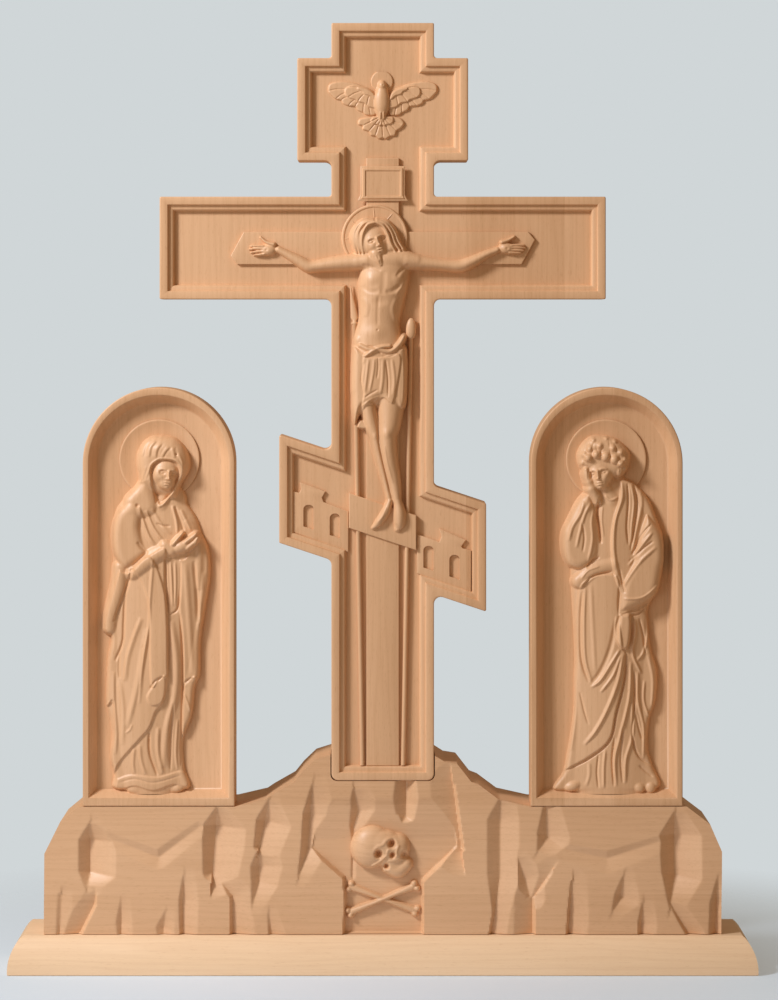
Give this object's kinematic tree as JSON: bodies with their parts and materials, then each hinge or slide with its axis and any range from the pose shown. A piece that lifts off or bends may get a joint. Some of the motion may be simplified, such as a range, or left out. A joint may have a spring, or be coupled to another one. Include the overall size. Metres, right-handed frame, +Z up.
{
  "type": "golgotha cross",
  "caption": "Carved wooden table cross with three bars, standing in a carved hill between two arched relief icons.",
  "frame": {"origin": "underside of the base board, at the middle of its width and depth", "axes": "+Z up, -Y towards the carved front, +X to the viewer's right"},
  "size_m": [0.394, 0.0576, 0.5003],
  "materials": {
    "carved_wood": "satin",
    "hill_wood": "satin",
    "flat_grain_wood": "satin",
    "dowel_wood": "matte",
    "screw_steel": "satin"
  },
  "bodies": {
    "stand": {"base_board": "flat_grain_wood", "base_screw_1": "screw_steel", "base_screw_2": "screw_steel", "base_screw_3": "screw_steel", "base_screw_4": "screw_steel", "golgotha_hill": "hill_wood", "skull": "carved_wood", "crossbones": "carved_wood", "left_icon_panel": "carved_wood", "left_icon_halo": "carved_wood", "left_icon_dowel_1": "dowel_wood", "left_icon_dowel_2": "dowel_wood", "left_mourner": "carved_wood", "right_icon_panel": "carved_wood", "right_icon_halo": "carved_wood", "right_icon_dowel_1": "dowel_wood", "right_icon_dowel_2": "dowel_wood", "right_mourner": "carved_wood"},
    "cross": {"cross_board": "carved_wood", "cross_dowel_1": "dowel_wood", "cross_dowel_2": "dowel_wood", "inner_cross": "carved_wood", "title_plate": "carved_wood", "footrest": "carved_wood", "lance": "carved_wood", "sponge_reed": "carved_wood", "left_city_wall": "carved_wood", "right_city_wall": "carved_wood", "corpus_halo": "carved_wood", "corpus": "carved_wood", "dove": "carved_wood"}
  },
  "joints": [
    {"name": "cross_lift", "type": "slide", "parent": "stand", "child": "cross", "axis": [0, 0, 1], "range_m": [0, 0.04]}
  ]
}
